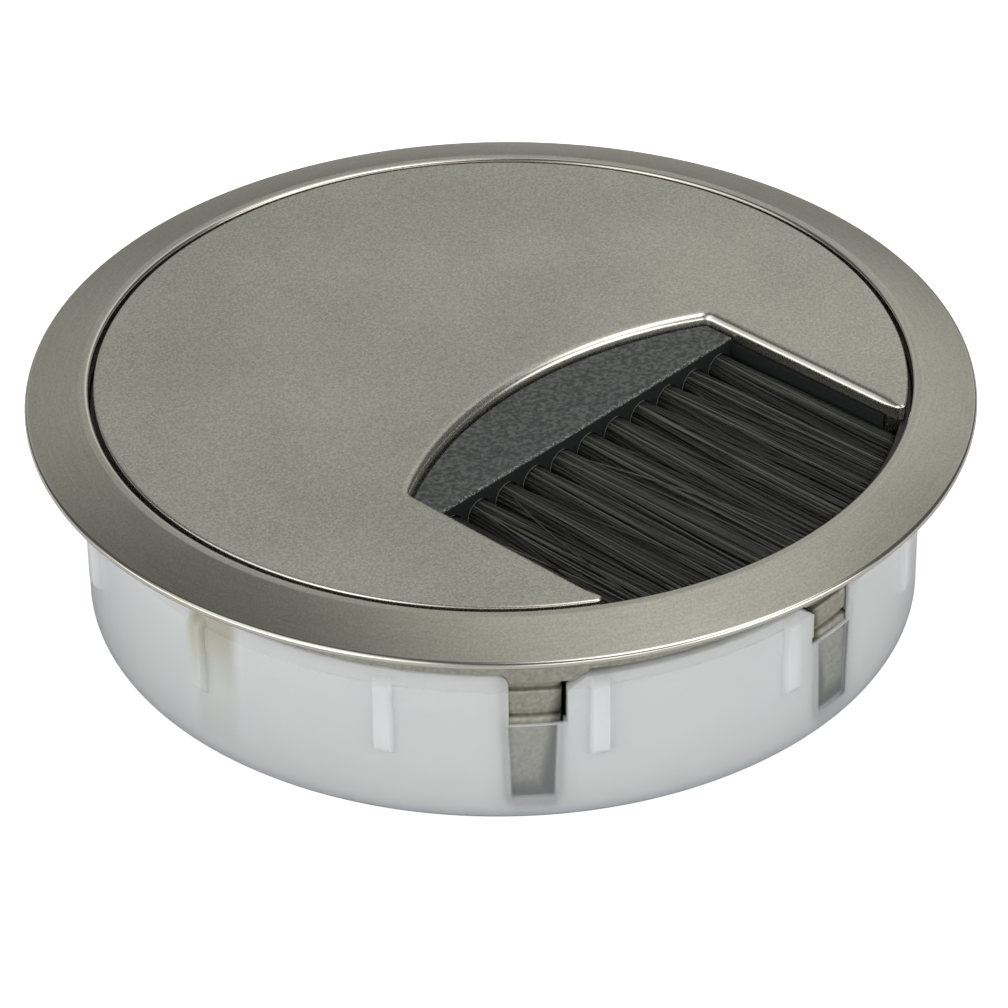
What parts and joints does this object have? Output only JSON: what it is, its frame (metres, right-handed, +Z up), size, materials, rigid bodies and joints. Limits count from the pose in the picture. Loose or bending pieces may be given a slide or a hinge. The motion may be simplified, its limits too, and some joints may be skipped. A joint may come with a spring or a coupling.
{
  "type": "desk grommet",
  "caption": "Round desk cable grommet: flanged metal ring with a milky plastic sleeve, and a turning lift-out lid whose cut-out is closed by a bristle brush.",
  "frame": {"origin": "on the ring's axis, in the plane of the flange's underside, which is the desk top", "axes": "+Z up out of the desk along the ring's axis; the lid's cable cut-out opens towards -Y; +X completes the right-handed frame"},
  "size_m": [0.089, 0.089, 0.0222],
  "materials": {
    "nickel_ring": "satin nickel plate on cast zinc, faint circular brushing",
    "nickel_lid": "satin bead-blasted nickel plate on cast zinc",
    "milky_plastic": "translucent natural polypropylene",
    "black_glide": "black acetal",
    "grained_plastic": "spark-grained dark grey moulded plastic",
    "bristle": "black nylon bristle",
    "zinc_screw": "zinc-plated steel",
    "anchor_metal": "flat wire"
  },
  "bodies": {
    "ring": {"flange_ring": "nickel_ring", "clamp_sleeve": "milky_plastic"},
    "glide": {"glide_ring": "black_glide"},
    "lid": {"lid_disc": "nickel_lid", "brush_holder": "grained_plastic", "holder_screws": "zinc_screw", "tuft_anchors": "anchor_metal", "tuft_01": "bristle", "tuft_02": "bristle", "tuft_03": "bristle", "tuft_04": "bristle", "tuft_05": "bristle", "tuft_06": "bristle", "tuft_07": "bristle", "tuft_08": "bristle", "tuft_09": "bristle", "tuft_10": "bristle", "tuft_11": "bristle"}
  },
  "joints": [
    {"name": "lid_turn", "type": "hinge", "parent": "ring", "child": "glide", "pos_m": [0, 0, 0], "axis": [0, 0, 1], "continuous": true},
    {"name": "lid_lift", "type": "slide", "parent": "glide", "child": "lid", "axis": [0, 0, 1], "range_m": [0, 0.03]}
  ]
}
